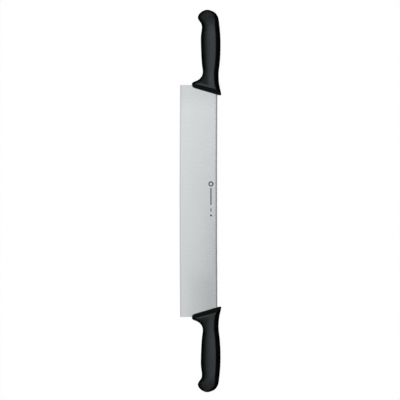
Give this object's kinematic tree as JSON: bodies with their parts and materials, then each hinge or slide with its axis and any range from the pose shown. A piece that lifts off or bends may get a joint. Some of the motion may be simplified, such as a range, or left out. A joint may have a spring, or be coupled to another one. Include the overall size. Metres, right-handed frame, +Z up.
{
  "type": "two-handled cheese knife",
  "caption": "Long straight rectangular cheese blade with a moulded guarded handle at each end, for cutting large wheels and blocks by rocking with both hands.",
  "frame": {"origin": "on the surface the knife lies on, under the middle of its bounding box", "axes": "+Z up, square to the blade; Y along the knife, left grip at +Y; X across the blade, spine at +X and cutting edge at -X"},
  "size_m": [0.0646, 0.5924, 0.0229],
  "materials": {
    "blade_steel": "fine cross-ground satin",
    "grip_skin": "black, fine non-slip moulded grain",
    "grip_core": "black, plain moulded"
  },
  "bodies": {
    "root": {"blade": "blade_steel", "left_grip": "grip_skin", "right_grip": "grip_skin", "left_core": "grip_core", "right_core": "grip_core"}
  },
  "joints": []
}
